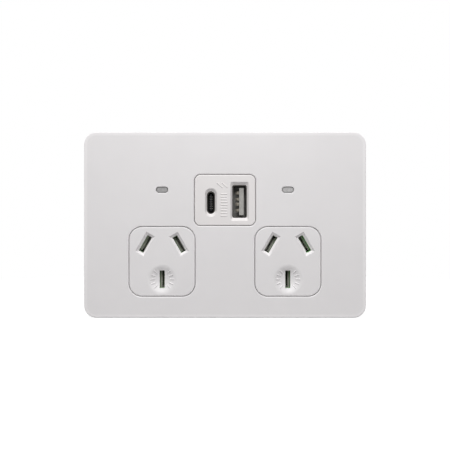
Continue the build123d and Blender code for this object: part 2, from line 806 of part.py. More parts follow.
def make_terminal_screws():
    screws = Part()
    tip = wire_y + WIRE_R + CLAMP_PLAY
    head_front = terminal_back + CLAMP_LIFT
    head_back = head_front + CLAMP_HEAD_T
    for number in (-1, 0, 1):
        x = terminal_place(number)
        screw = rod(CLAMP_R, tip, head_front, x, terminal_z)
        screw += rod(CLAMP_HEAD_R, head_front, head_back, x, terminal_z)
        slot_front = head_back - CLAMP_SLOT
        screw -= block(2 * CLAMP_HEAD_R, CLAMP_SLOT, slot_front, head_back, x, terminal_z)
        screws += screw
    return screws


# Rear housing and its screws
def make_rear_housing():
    cup = body_ring(board_back, body_back)
    width = 2 * (body_half_w + BODY_WALL)
    height = 2 * (body_half_h + BODY_WALL)
    back = slab(RectangleRounded(width, height, BODY_CORNER), body_back, housing_back)
    cup += fillet(back.faces().sort_by(Axis.Y)[-1].edges(), BACK_EDGE)
    panel = Pos(0, PANEL_RISE) * RectangleRounded(PANEL_W, PANEL_H, PANEL_CORNER)
    cup -= slab(panel, housing_back - PANEL_IN, housing_back)
    for x, z in ejector_places():
        cup -= rod(EJECTOR_R, housing_back - EJECTOR_IN, housing_back, x, z)
    cup -= Pos(GAUGE_X, housing_back, terminal_z) * Rot(0, 90, 0) * Cylinder(GAUGE_R, GAUGE_L)
    for x, z in corner_places():
        cup += rod(POST_R, board_back, body_back, x, z)
    for x, z in corner_places():
        cup -= rod(SCREW_R + SCREW_PLAY, board_back, screw_seat, x, z)
        cup -= rod(SCREW_HEAD_R + SCREW_PLAY, screw_seat, housing_back, x, z)
    rib_front = body_back - RIB_H
    for side in SIDES.values():
        for edge in (-1, 1):
            rib_x = side * socket_x + edge * (SWITCH_W / 2 + RIB_PLAY + RIB_T / 2)
            cup += block(RIB_T, SWITCH_L, rib_front, body_back, rib_x, switch_z)
    wall_x = (TERMINAL_PITCH - TERMINAL_W) / 2 - RIB_PLAY
    for number in (-1, 0, 1):
        x = terminal_place(number)
        for edge in (-1, 1):
            fence_x = x + edge * (TERMINAL_W / 2 + RIB_PLAY + wall_x / 2)
            cup += block(wall_x, TERMINAL_H, terminal_front, body_back, fence_x, terminal_z)
        drop = body_half_h + BODY_WALL / 2
        cup -= Pos(x, wire_y, -drop) * Cylinder(WIRE_R + WIRE_ROOM, BODY_WALL)
        access_r = CLAMP_HEAD_R + ACCESS_PLAY
        cup -= rod(access_r, body_back, housing_back, x, terminal_z)
        hole = Pos(x, terminal_z) * Circle(access_r)
        rim = Pos(x, terminal_z) * Circle(access_r + ACCESS_RIM)
        cup -= funnel(hole, rim, housing_back - ACCESS_RIM, housing_back)
    return cup


def make_housing_screws():
    screws = Part()
    for x, z in corner_places():
        screws += rod(SCREW_R, screw_seat - SCREW_L, screw_seat, x, z)
        head = rod(SCREW_HEAD_R, screw_seat, screw_seat + SCREW_HEAD_T, x, z)
        recess = Rectangle(SCREW_HEAD_R, SCREW_R / 2) + Rectangle(SCREW_R / 2, SCREW_HEAD_R)
        recess_front = screw_seat + SCREW_HEAD_T / 2
        screws += head - slab(Pos(x, z) * recess, recess_front, screw_seat + SCREW_HEAD_T)
    return screws


# Charger parts
winding_h = CORE_H - 2 * CORE_BACK - 2 * WINDING_PLAY
winding_w = CORE_W - 2 * CORE_BACK - 2 * WINDING_PLAY
transformer_y = board_back + BOBBIN_LIFT + WINDING_D / 2


def make_transformer_core():
    near = transformer_y - CORE_D / 2
    far = transformer_y + CORE_D / 2
    core = block(CORE_W, CORE_H, near, far, TRANSFORMER_X, TRANSFORMER_Z)
    window_w = (CORE_W - 2 * CORE_BACK - CORE_LEG) / 2
    window_h = CORE_H - 2 * CORE_BACK
    for side in SIDES.values():
        window_x = TRANSFORMER_X + side * (CORE_LEG + window_w) / 2
        core -= block(window_w, window_h, near, far, window_x, TRANSFORMER_Z)
    return core


def make_transformer_winding():
    near = transformer_y - WINDING_D / 2
    far = transformer_y + WINDING_D / 2
    coil_h = winding_h - 2 * BOBBIN_T
    coil = block(winding_w, coil_h, near, far, TRANSFORMER_X, TRANSFORMER_Z)
    coil = fillet(coil.edges().filter_by(Axis.Z), WINDING_EDGE)
    hole_w = CORE_LEG + 2 * WINDING_PLAY
    hole_d = CORE_D / 2 + WINDING_PLAY
    hole = block(hole_w, CORE_H, transformer_y - hole_d, transformer_y + hole_d, TRANSFORMER_X, TRANSFORMER_Z)
    return coil - hole


def make_transformer_bobbin():
    near = transformer_y - WINDING_D / 2
    cheeks = Part()
    cheek_at = (winding_h - BOBBIN_T) / 2
    for side in SIDES.values():
        cheek_z = TRANSFORMER_Z + side * cheek_at
        far = transformer_y + WINDING_D / 2
        cheeks += block(winding_w, BOBBIN_T, board_back, far, TRANSFORMER_X, cheek_z)
    hole_w = CORE_LEG + 2 * WINDING_PLAY
    hole_d = CORE_D / 2 + WINDING_PLAY
    hole = block(hole_w, CORE_H, transformer_y - hole_d, transformer_y + hole_d, TRANSFORMER_X, TRANSFORMER_Z)
    foot = block(winding_w, winding_h, board_back, near, TRANSFORMER_X, TRANSFORMER_Z)
    return cheeks + foot - hole


def can(radius, length, x, z):
    """Electrolytic capacitor standing on the board, with the crimp round its foot."""
    body = rod(radius, board_back, board_back + length, x, z)
    body = fillet(body.faces().sort_by(Axis.Y)[-1].edges(), CAN_EDGE)
    groove = board_back + CAN_GROOVE_AT
    crimp = rod(radius, groove - CAN_GROOVE, groove + CAN_GROOVE, x, z)
    return body - (crimp - rod(radius - CAN_GROOVE, groove - CAN_GROOVE, groove + CAN_GROOVE, x, z))


def make_input_capacitors():
    near_x = INPUT_CAN_X - INPUT_CAN_PITCH
    first = can(INPUT_CAN_R, INPUT_CAN_L, INPUT_CAN_X, INPUT_CAN_Z)
    return first + can(INPUT_CAN_R, INPUT_CAN_L, near_x, INPUT_CAN_Z)


def make_output_capacitors():
    far_x = OUTPUT_CAN_X + OUTPUT_CAN_PITCH
    first = can(OUTPUT_CAN_R, OUTPUT_CAN_L, OUTPUT_CAN_X, OUTPUT_CAN_Z)
    return first + can(OUTPUT_CAN_R, OUTPUT_CAN_L, far_x, OUTPUT_CAN_Z)


def make_x_capacitor():
    body = block(X_CAP_W, X_CAP_H, board_back, board_back + X_CAP_L, X_CAP_X, X_CAP_Z)
    return fillet(body.faces().sort_by(Axis.Y)[-1].edges(), CAN_EDGE)


def disc(radius, x, z):
    """Dipped disc on two wire leads, standing on edge."""
    centre_y = board_back + DISC_LIFT + radius
    body = Pos(x, centre_y, z) * Rot(0, 90, 0) * Cylinder(radius, DISC_T)
    body = fillet(body.edges().filter_by(GeomType.CIRCLE), CAN_EDGE)
    for side in SIDES.values():
        body += rod(LEAD_R, board_back, centre_y, x, z + side * radius / 2)
    return body


def make_fuse_resistor():
    centre_y = board_back + DISC_LIFT + FUSE_R
    body = Pos(FUSE_X, centre_y, FUSE_Z) * Rot(0, 90, 0) * Cylinder(FUSE_R, FUSE_L)
    body = fillet(body.edges().filter_by(GeomType.CIRCLE), CAN_EDGE)
    for side in SIDES.values():
        lead_x = FUSE_X + side * (FUSE_L / 2 - CAN_EDGE - LEAD_R)
        body += rod(LEAD_R, board_back, centre_y, lead_x, FUSE_Z)
    return body


def make_bridge_rectifier():
    body = block(BRIDGE_W, BRIDGE_H, board_back, board_back + BRIDGE_T, BRIDGE_X, BRIDGE_Z)
    return chamfer(body.faces().sort_by(Axis.Y)[-1].edges(), CAN_EDGE)


def make_choke():
    """Drum core standing on the board, waisted where its wire is wound."""
    body = rod(CHOKE_R, board_back, board_back + CHOKE_L, CHOKE_X, CHOKE_Z)
    waist_near = board_back + CHOKE_RIM
    waist_far = board_back + CHOKE_L - CHOKE_RIM
    ring = rod(CHOKE_R, waist_near, waist_far, CHOKE_X, CHOKE_Z)
    return body - (ring - rod(CHOKE_R - CHOKE_WAIST, waist_near, waist_far, CHOKE_X, CHOKE_Z))


def chip(x, z):
    body = block(CHIP_W, CHIP_H, board_back, board_back + CHIP_T, x, z)
    return chamfer(body.faces().sort_by(Axis.Y)[-1].edges(), LEAD_R)


# Every piece, by its node's name
pieces = {
    "cover_plate": make_cover_plate(),
    "grid_frame": make_grid_frame(),
    "usb_face": make_usb_face(),
    "usb_a_shell": make_usb_a_shell(),
    "usb_a_insulator": make_usb_a_insulator(),
    "usb_a_contacts": make_usb_a_contacts(),
    "usb_c_shell": make_usb_c_shell(),
    "usb_c_insulator": make_usb_c_insulator(),
    "usb_c_contacts": make_usb_c_contacts(),
    "main_board": make_main_board(),
    "active_terminal": make_terminal(-1),
    "earth_terminal": make_terminal(0),
    "neutral_terminal": make_terminal(1),
    "terminal_screws": make_terminal_screws(),
    "rear_housing": make_rear_housing(),
    "housing_screws": make_housing_screws(),
    "transformer_core": make_transformer_core(),
    "transformer_winding": make_transformer_winding(),
    "transformer_bobbin": make_transformer_bobbin(),
    "input_capacitors": make_input_capacitors(),
    "output_capacitors": make_output_capacitors(),
    "x_capacitor": make_x_capacitor(),
    "y_capacitor": disc(Y_CAP_R, Y_CAP_X, Y_CAP_Z),
    "varistor": disc(VARISTOR_R, VARISTOR_X, VARISTOR_Z),
    "fuse_resistor": make_fuse_resistor(),
    "bridge_rectifier": make_bridge_rectifier(),
    "choke": make_choke(),
    "primary_chip": chip(PRIMARY_CHIP_X, PRIMARY_CHIP_Z),
    "charge_chip": chip(CHARGE_CHIP_X, CHARGE_CHIP_Z),
}
for name, side in SIDES.items():
    active, neutral = line_slots(side * socket_x)
    pieces[f"active_jaw_{name}"] = make_line_jaw(*active)
    pieces[f"neutral_jaw_{name}"] = make_line_jaw(*neutral)
    pieces[f"earth_jaw_{name}"] = make_earth_jaw(side)
    pieces[f"pin_guide_{name}"] = make_pin_guide(side)
    pieces[f"light_pipe_{name}"] = make_light_pipe(side)
    pieces[f"indicator_led_{name}"] = make_indicator_led(side)
    pieces[f"pin_follower_{name}"] = make_pin_follower(side)
    pieces[f"switch_body_{name}"] = make_switch_body(side)
    pieces[f"switch_lever_{name}"] = make_switch_lever(side)
    pieces[f"switch_button_{name}"] = make_switch_button(side)
    pieces[f"switch_legs_{name}"] = make_switch_legs(side)

os.makedirs("parts", exist_ok=True)
for name, piece in pieces.items():
    export_step(piece, f"parts/{name}.step")

print("follower travel", follower_travel, "button travel", button_travel)
print("lever pivot", pivot_y, pivot_z, "lever turn", degrees(tilt))
print("wire holes", wire_y, terminal_z)
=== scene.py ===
# %% [markdown]
# # A double wall outlet with two USB ports
#
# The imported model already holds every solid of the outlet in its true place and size. This lesson
# adds what a solid lacks: a finish for each surface, some fine detail, light and a camera.
# Lengths are in metres. X points right along the plate, Y points into the wall and Z points up.

# %% Load the frame
import math

import bmesh
import bpy
from mathutils import Matrix, Vector


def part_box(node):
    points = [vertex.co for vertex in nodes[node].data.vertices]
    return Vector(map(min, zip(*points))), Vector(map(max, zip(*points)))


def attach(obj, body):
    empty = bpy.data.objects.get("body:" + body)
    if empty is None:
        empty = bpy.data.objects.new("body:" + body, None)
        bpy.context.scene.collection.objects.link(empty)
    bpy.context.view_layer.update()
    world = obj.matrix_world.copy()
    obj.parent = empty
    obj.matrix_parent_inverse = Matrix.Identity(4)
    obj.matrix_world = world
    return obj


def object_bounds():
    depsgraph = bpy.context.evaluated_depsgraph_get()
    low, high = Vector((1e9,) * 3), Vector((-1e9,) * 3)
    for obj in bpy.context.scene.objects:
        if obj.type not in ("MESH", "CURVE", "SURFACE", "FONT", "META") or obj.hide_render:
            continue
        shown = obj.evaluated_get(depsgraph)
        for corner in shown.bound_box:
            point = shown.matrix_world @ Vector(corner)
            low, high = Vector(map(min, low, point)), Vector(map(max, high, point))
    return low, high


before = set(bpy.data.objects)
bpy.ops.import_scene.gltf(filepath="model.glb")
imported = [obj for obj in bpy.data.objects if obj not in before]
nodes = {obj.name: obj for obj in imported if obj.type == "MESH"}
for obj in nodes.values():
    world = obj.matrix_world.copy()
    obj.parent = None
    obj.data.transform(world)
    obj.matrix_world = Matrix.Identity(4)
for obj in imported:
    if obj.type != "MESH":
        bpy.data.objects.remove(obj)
scene = bpy.context.scene
MM = 0.001
cad_low, cad_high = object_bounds()
print("nodes:", len(nodes), " box in mm:", [round(v / MM, 2) for v in cad_high - cad_low])

# %% [markdown]
# The photograph looks squarely at the plate from about 30 cm. The plate's 114 mm fill 282 of the
# picture's 450 dots, so one dot is 0.404 mm at the plate's front, and the lens follows from that.
# The lens could be set by eye, but worked out this way it stays right when the distance changes.

# %% Camera
IMAGE_DOTS = 450
DOT = 0.404 * MM
CAMERA_DISTANCE = 0.300
CLIP_START = 0.010
SENSOR = 36.0  # in mm, as Blender gives the lens

plate_low, plate_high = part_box("cover_plate")
lens_view = bpy.data.cameras.new("camera")
lens_view.sensor_width = SENSOR
lens_view.lens = SENSOR * CAMERA_DISTANCE / (IMAGE_DOTS * DOT)
lens_view.clip_start = CLIP_START
camera = bpy.data.objects.new("camera", lens_view)
camera.location = (0, plate_low.y - CAMERA_DISTANCE, 0)
camera.rotation_euler = (math.radians(90), 0, 0)
scene.collection.objects.link(camera)
scene.camera = camera
scene.view_settings.view_transform = "Standard"
print("lens:", round(lens_view.lens, 2), "mm, camera at", [round(v, 4) for v in camera.location])

# %% [markdown]
# Light and finishes are wired from shader nodes. A few helpers keep that short: one makes a node with
# its settings, one does a sum, and two tell what the camera sees, straight or mirrored, from the
# light that only falls on things.


# %% Node helpers
def add(tree, kind, **settings):
    """New shader node with its settings."""
    node = tree.nodes.new(kind)
    for name, value in settings.items():
        setattr(node, name, value)
    return node


def maths(tree, operation, first, second):
    """Sum of a socket with another socket or with a number."""
    node = add(tree, "ShaderNodeMath", operation=operation)
    tree.links.new(first, node.inputs[0])
    if isinstance(second, (int, float)):
        node.inputs[1].default_value = second
    else:
        tree.links.new(second, node.inputs[1])
    return node.outputs[0]


def seen_directly(tree):
    """1 for rays from the camera, mirrored rays and rays through glass, 0 for the rest."""
    path = add(tree, "ShaderNodeLightPath")
    mirrored = maths(tree, "MAXIMUM", path.outputs["Is Camera Ray"], path.outputs["Is Glossy Ray"])
    return maths(tree, "MAXIMUM", mirrored, path.outputs["Is Transmission Ray"])


def show_or_light(tree, light, show, output):
    """Give the output one shader where it is seen directly, and another one where it only lights."""
    choose = add(tree, "ShaderNodeMixShader")
    tree.links.new(seen_directly(tree), choose.inputs["Fac"])
    tree.links.new(light.outputs[0], choose.inputs[1])
    tree.links.new(show.outputs[0], choose.inputs[2])
    tree.links.new(choose.outputs[0], tree.nodes[output].inputs["Surface"])


# %% [markdown]
# A product photograph on white is lit by a broad soft lamp above the camera and by pale walls all
# round. Here the world is the pale walls: it lights the outlet at less than full strength, and
# what the camera sees of it directly, or mirrored in metal, is plain white. The key lamp stands
# steeply above the plate, so that slopes and dishes show, and the low lamp beside the camera softens
# their shade. The other three stand behind the plate's face. They are for the views from other sides,
# and from the front only the plate's rounded edges catch them.

# %% World and lamps
WALL_LIGHT = 0.19
WHITE_LIGHT = (1, 1, 1, 1)
LAMPS = {  # power in watts, side of the square, place
    "key lamp": (2.80, 0.35, Vector((-0.056, -0.378, 0.554))),
    "low lamp": (0.66, 0.14, Vector((0.020, -0.440, 0.195))),
    "back lamp": (1.00, 0.30, Vector((0.160, 0.420, 0.220))),
    "left lamp": (0.42, 0.25, Vector((-0.450, 0.120, 0.030))),
    "right lamp": (0.25, 0.25, Vector((0.450, 0.120, 0.030))),
}

world = bpy.data.worlds.new("studio")
world.use_nodes = True
scene.world = world
tree = world.node_tree
walls = tree.nodes["Background"]
walls.inputs["Color"].default_value = WHITE_LIGHT
walls.inputs["Strength"].default_value = WALL_LIGHT
backdrop = add(tree, "ShaderNodeBackground")
backdrop.inputs["Color"].default_value = WHITE_LIGHT
backdrop.inputs["Strength"].default_value = 1.0
show_or_light(tree, walls, backdrop, "World Output")

for name, (power, side, place) in LAMPS.items():
    lamp = bpy.data.lights.new(name, "AREA")
    lamp.shape = "SQUARE"
    lamp.size = side
    lamp.energy = power
    stand = bpy.data.objects.new(name, lamp)
    stand.location = place
    stand.rotation_euler = (-place).to_track_quat("-Z", "Y").to_euler()
    scene.collection.objects.link(stand)
    print(name, round(place.length, 3), "m from the plate,", power, "W")

# %% [markdown]
# The outlet stands on its lower edge on a plain pale table. A white table under plain light comes out
# grey in a picture. So the table is a soft grey that glows a little, but only where it is seen: it
# turns out white, its glow doesn't light the outlet, and the contact shadow stays.

# %% Floor
FLOOR_R = 0.25
FLOOR_SIDES = 96
FLOOR_GREY = 0.28
FLOOR_LIFT = 0.88
FLOOR_DROP = 0.1 * MM

mesh = bmesh.new()
bmesh.ops.create_circle(mesh, cap_ends=True, segments=FLOOR_SIDES, radius=FLOOR_R)
bmesh.ops.translate(mesh, verts=mesh.verts, vec=(0, 0, cad_low.z - FLOOR_DROP))
data = bpy.data.meshes.new("floor")
mesh.to_mesh(data)
mesh.free()
floor = bpy.data.objects.new("floor", data)
scene.collection.objects.link(floor)

finish = bpy.data.materials.new("floor")
finish.use_nodes = True
tree = finish.node_tree
tree.nodes.remove(tree.nodes["Principled BSDF"])
card = add(tree, "ShaderNodeBsdfDiffuse")
card.inputs["Color"].default_value = (FLOOR_GREY, FLOOR_GREY, FLOOR_GREY, 1)
lift = add(tree, "ShaderNodeEmission")
lift.inputs["Strength"].default_value = FLOOR_LIFT
both = add(tree, "ShaderNodeAddShader")
tree.links.new(card.outputs[0], both.inputs[0])
tree.links.new(lift.outputs[0], both.inputs[1])
show_or_light(tree, card, both, "Material Output")
data.materials.append(finish)
print("floor at z =", round((cad_low.z - FLOOR_DROP) / MM, 2), "mm")

# %% [markdown]
# Plastic, metal and lacquer differ in colour and shine, but they share one build: a slow cloud in the
# colour, a faster one in the shine, and a fine grain as bump. One function makes them all, so a
# finish is one row of numbers. Noise is read in Object coordinates, which stay put on a moving part.

# %% Helpers for a clouded finish
THIN, THICK = 0.3, 0.7  # noise values that hold most of a cloud
EVEN = (1, 1, 1)  # a cloud that isn't drawn out along any axis
CLOUD_DETAIL = 2.0
GRAIN_DETAIL = 4.0
SHINE_SIZE = 0.6  # shine cloud as a share of the colour cloud
BUMP_STRENGTH = 0.6


def cloud(tree, size, stretch, detail):
    """Noise with lumps of about the given size in mm, drawn out along the axes."""
    place = add(tree, "ShaderNodeTexCoord")
    scale = add(tree, "ShaderNodeMapping")
    scale.inputs["Scale"].default_value = [1 / (size * MM * part) for part in stretch]
    noise = add(tree, "ShaderNodeTexNoise")
    noise.inputs["Scale"].default_value = 1.0
    noise.inputs["Detail"].default_value = detail
    tree.links.new(place.outputs["Object"], scale.inputs["Vector"])
    tree.links.new(scale.outputs["Vector"], noise.inputs["Vector"])
    return noise.outputs["Fac"]


def between(tree, value, start, end, low=0.0, high=1.0):
    """Number that goes from low to high as a value goes from start to end."""
    node = add(tree, "ShaderNodeMapRange")
    node.inputs["From Min"].default_value = start
    node.inputs["From Max"].default_value = end
    node.inputs["To Min"].default_value = low
    node.inputs["To Max"].default_value = high
    tree.links.new(value, node.inputs["Value"])
    return node.outputs["Result"]


def blend(tree, value, low, high, start=0.0, end=1.0):
    """Colour that goes from low to high as a value goes from start to end."""
    ramp = add(tree, "ShaderNodeValToRGB")
    ramp.color_ramp.elements[0].position = start
    ramp.color_ramp.elements[0].color = (*low, 1)
    ramp.color_ramp.elements[1].position = end
    ramp.color_ramp.elements[1].color = (*high, 1)
    tree.links.new(value, ramp.inputs["Fac"])
    return ramp.outputs["Color"]


def clouded(name, colour, size, spread, rough, grain, height, metal=0.0, stretch=EVEN, gloss=0.5):
    """Finish with a colour cloud (size in mm), a shine cloud and a grain (grain and height in mm)."""
    material = bpy.data.materials.new(name)
    material.use_nodes = True
    tree = material.node_tree
    shader = tree.nodes["Principled BSDF"]
    darker, lighter = ([part * (1 + step) for part in colour] for step in (-spread, spread))
    lumps = cloud(tree, size, stretch, CLOUD_DETAIL)
    tree.links.new(blend(tree, lumps, darker, lighter, THIN, THICK), shader.inputs["Base Color"])
    sheen = cloud(tree, SHINE_SIZE * size, stretch, CLOUD_DETAIL)
    tree.links.new(between(tree, sheen, THIN, THICK, *rough), shader.inputs["Roughness"])
    shader.inputs["Metallic"].default_value = metal
    shader.inputs["Specular IOR Level"].default_value = gloss
    bump = add(tree, "ShaderNodeBump")
    bump.inputs["Distance"].default_value = height * MM
    bump.inputs["Strength"].default_value = BUMP_STRENGTH
    tree.links.new(cloud(tree, grain, stretch, GRAIN_DETAIL), bump.inputs["Height"])
    tree.links.new(bump.outputs["Normal"], shader.inputs["Normal"])
    return material


# %% [markdown]
# Cover, frame, USB insert and housing are injection mouldings. Their moulds are spark-eroded, which
# leaves a very fine satin grain, and the plastic itself is never one even white: it clouds a little
# from gate to edge. The frame's and the cover's white are written a little too pale here, because both
# are toned down below, everywhere but on the edges that the photograph shows whiter, which keep the
# paler white as a painted highlight.

# %% White mouldings
SATIN = (0.35, 0.42)
WHITES = {  # colour, cloud in mm and its spread, roughness, grain and its height in mm
    "cover_white": ((0.872, 0.850, 0.856), 16, 0.012, SATIN, 0.3, 0.006),
    "frame_white": ((0.926, 0.903, 0.909), 13, 0.012, SATIN, 0.3, 0.006),
    "usb_white": ((0.825, 0.795, 0.790), 9, 0.012, SATIN, 0.3, 0.006),
    "housing_white": ((0.72, 0.72, 0.71), 18, 0.03, (0.45, 0.55), 0.5, 0.012),
}

finishes = {name: clouded(name, *row) for name, row in WHITES.items()}
print("white finishes:", sorted(finishes))

# %% [markdown]
# The green parts behind the slots are moulded in a glass-filled nylon: a dull, slightly streaky
# green. The switch's red button and black body, the bobbin and the insulators are nylon too. The
# black in the ports gets less gloss than the rest, or the white studio would wash it out.

# %% Coloured mouldings
MOULDINGS = {  # columns as for the whites
    "guide_green": ((0.38, 0.485, 0.335), 3, 0.12, (0.40, 0.55), 0.25, 0.010),
    "follower_green": ((0.50, 0.62, 0.42), 3, 0.20, (0.40, 0.55), 0.25, 0.010),
    "switch_black": ((0.025, 0.025, 0.027), 3, 0.25, (0.40, 0.50), 0.20, 0.008),
    "button_red": ((0.42, 0.03, 0.025), 1.5, 0.12, (0.35, 0.45), 0.15, 0.005),
    "bobbin_black": ((0.02, 0.02, 0.02), 3, 0.25, (0.45, 0.55), 0.30, 0.010),
    "port_black": ((0.010, 0.011, 0.013), 1, 0.30, (0.45, 0.60), 0.12, 0.004),
    "port_grey": ((0.36, 0.35, 0.33), 2, 0.04, (0.40, 0.50), 0.15, 0.004),
}
PORT_GLOSS = 0.15

finishes.update({name: clouded(name, *row) for name, row in MOULDINGS.items()})
port_shader = finishes["port_black"].node_tree.nodes["Principled BSDF"]
port_shader.inputs["Specular IOR Level"].default_value = PORT_GLOSS
print("finishes so far:", len(finishes))

# %% [markdown]
# The photograph shows grey-green in most slots and a clear green in the last one on the right, where
# more light falls into the slot. Two finishes would need two slots, so one finish clears along X
# instead: a tint is multiplied onto the colour, plain at first and green past the last slot but one.
# That clear green is painted light.

# %% Painted light: green that clears along X
SHADED_GREEN_X, LIT_GREEN_X = 24.0 * MM, 31.0 * MM
LIT_GREEN_TINT = (0.22, 0.92, 0.12)
PLAIN = (1, 1, 1)  # a tint that changes nothing


def coordinate(tree, axis):
    """Where a point lies along an axis."""
    split = add(tree, "ShaderNodeSeparateXYZ")
    tree.links.new(add(tree, "ShaderNodeTexCoord").outputs["Object"], split.inputs[0])
    return split.outputs[axis]


def tint(tree, colours):
    """Multiply more colours onto those that a finish already has."""
    base = tree.nodes["Principled BSDF"].inputs["Base Color"]
    mix = add(tree, "ShaderNodeMix", data_type="RGBA", blend_type="MULTIPLY")
    mix.inputs["Factor"].default_value = 1.0
    tree.links.new(base.links[0].from_socket, mix.inputs["A"])
    tree.links.new(colours, mix.inputs["B"])
    tree.links.new(mix.outputs["Result"], base)


tree = finishes["guide_green"].node_tree
# painted light: the green turns clear past the last slot but one
lit_green_share = between(tree, coordinate(tree, "X"), SHADED_GREEN_X, LIT_GREEN_X)
tint(tree, blend(tree, lit_green_share, PLAIN, LIT_GREEN_TINT))
print("green clears from", round(SHADED_GREEN_X / MM), "to", round(LIT_GREEN_X / MM), "mm")

# %% [markdown]
# The two pill-shaped lamp windows are the ends of frosted light pipes. A frosted end looks grey when
# its lamp is off. Its rim is darker here: that is painted shade, standing in for the shadow in the
# narrow gap round the pipe. The painted shade follows how far a point lies from the pill's middle
# line. Both windows use one finish, so the left one is folded onto the right one first, with the
# absolute value of X. The left window is the darker one in the photograph.

# %% Frosted lamp windows
LENS_HALF_LINE = 1.22 * MM
LENS_R = 1.07 * MM
LENS_GREY = ((0.475, 0.465, 0.465), 0.8, 0.14, (0.30, 0.45), 0.10, 0.006)  # as for the whites
# The darker rim is painted shade of the narrow gap round each pipe.
LENS_RIM_SHADE_TINT = (0.568, 0.570, 0.570)
LENS_SHADE_START = 0.45  # share of the radius at which the rim starts to darken
LENS_LEFT_TINT = (0.76, 0.76, 0.76)
LENS_TURN = 5.0 * MM  # half of the stretch of X between the darker and the paler window
LIFT = 1.0  # keeps Z above zero while X is folded


def from_core(tree, middle, half):
    """Distance, seen from the front, to a flat core at the middle and at its mirror image in X."""
    place = add(tree, "ShaderNodeTexCoord").outputs["Object"]
    steps = (
        ("ADD", (0, 0, LIFT)),
        ("ABSOLUTE", (0, 0, 0)),
        ("SUBTRACT", (middle.x, 0, middle.z + LIFT)),
        ("ABSOLUTE", (0, 0, 0)),
        ("SUBTRACT", half),
        ("MAXIMUM", (0, 0, 0)),
        ("MULTIPLY", (1, 0, 1)),
        ("LENGTH", (0, 0, 0)),
    )
    for operation, amount in steps:
        step = add(tree, "ShaderNodeVectorMath", operation=operation)
        step.inputs[1].default_value = amount
        tree.links.new(place, step.inputs[0])
        place = step.outputs[0]
    return step.outputs[1]  # the second output is a number


lens_low, lens_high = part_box("light_pipe_right")
lens_middle = 0.5 * (lens_low + lens_high)
finishes["lens_grey"] = clouded("lens_grey", *LENS_GREY)
tree = finishes["lens_grey"].node_tree
reach = maths(tree, "DIVIDE", from_core(tree, lens_middle, (LENS_HALF_LINE, 0, 0)), LENS_R)
# painted shade: darker towards each window's rim
tint(tree, blend(tree, reach, PLAIN, LENS_RIM_SHADE_TINT, LENS_SHADE_START))
rightness = between(tree, coordinate(tree, "X"), -LENS_TURN, LENS_TURN)
tint(tree, blend(tree, rightness, LENS_LEFT_TINT, PLAIN))
print("lens middle in mm:", [round(v / MM, 2) for v in lens_middle])

# %% [markdown]
# In the photograph the plate's outer edge is a little whiter than its face, where its rounding catches
# the light. The lamps alone leave it too dull here, so the finish is paler there: a painted highlight.
# The same distance serves: the core is the plate's outline, drawn in by its corner radius, and the
# edge is where the distance from that core comes near the radius.

# %% Painted highlight on the plate's edge
PLATE_CORNER = 5.0 * MM
# The edge band keeps the paler white as a painted highlight; the rest of the face takes the darker
# tint.
HIGHLIGHT_START, HIGHLIGHT_FULL = 1.6 * MM, 1.0 * MM  # from the edge
PLATE_BESIDE_HIGHLIGHT_TINT = (0.935, 0.935, 0.935)

tree = finishes["cover_white"].node_tree
plate_half = 0.5 * (plate_high - plate_low)
core = (plate_half.x - PLATE_CORNER, 0, plate_half.z - PLATE_CORNER)
reach = from_core(tree, Vector((0, 0, 0)), core)
edge_highlight = between(tree, reach, PLATE_CORNER - HIGHLIGHT_START, PLATE_CORNER - HIGHLIGHT_FULL)
# painted highlight: the face is toned down, the edge stays pale
tint(tree, blend(tree, edge_highlight, PLATE_BESIDE_HIGHLIGHT_TINT, PLAIN))
print("paler edge:", round(HIGHLIGHT_START / MM, 2), "mm wide")

# %% [markdown]
# The sloped lead-ins of the slanted slots are whiter than the outlet's face in the photograph too,
# where their slopes catch the light, and get a paler finish in the same way: a painted highlight. Two
# shares are multiplied: how far a point lies below the face, and whether it lies in the field round
# the slanted slots, which is a plain rectangle this time.

# %% Painted highlight on the slots' lead-ins
SLOT_FIELD_Z = -7.7 * MM
SLOT_FIELD_HALF = (9.6 * MM, 0, 5.6 * MM)
SLOT_FIELD_FADE = 0.3 * MM
LEAD_IN_START, LEAD_IN_FULL = 0.08 * MM, 0.35 * MM  # below the outlet's face
# The lead-ins keep the paler white as a painted highlight; the rest of the frame takes the darker
# tint.
FRAME_BESIDE_HIGHLIGHT_TINT = (0.88, 0.88, 0.88)

guide_low, guide_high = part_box("pin_guide_right")
field_middle = Vector((0.5 * (guide_low.x + guide_high.x), 0, SLOT_FIELD_Z))
outlet_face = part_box("grid_frame")[0].y
tree = finishes["frame_white"].node_tree
field = between(tree, from_core(tree, field_middle, SLOT_FIELD_HALF), 0.0, SLOT_FIELD_FADE, 1.0, 0.0)
slope = between(tree, coordinate(tree, "Y"), outlet_face + LEAD_IN_START, outlet_face + LEAD_IN_FULL)
# painted highlight: the frame is toned down everywhere but on the lead-ins
tint(tree, blend(tree, maths(tree, "MULTIPLY", slope, field), FRAME_BESIDE_HIGHLIGHT_TINT, PLAIN))
print("outlet face at y =", round(outlet_face / MM, 2), "mm")

# %% [markdown]
# Jaws and terminals are rolled and stamped, so fine streaks run along the sheet. The jaws are plated
# pale and look dull, while the terminals are bare brass with browner patches from handling. Screws,
# levers and cans are cold and bright. The inside of the USB shells is nearly black in the photograph,
# and bright steel would mirror the white studio, so the shells' steel is written dark: painted shade
# of the ports' deep inside.

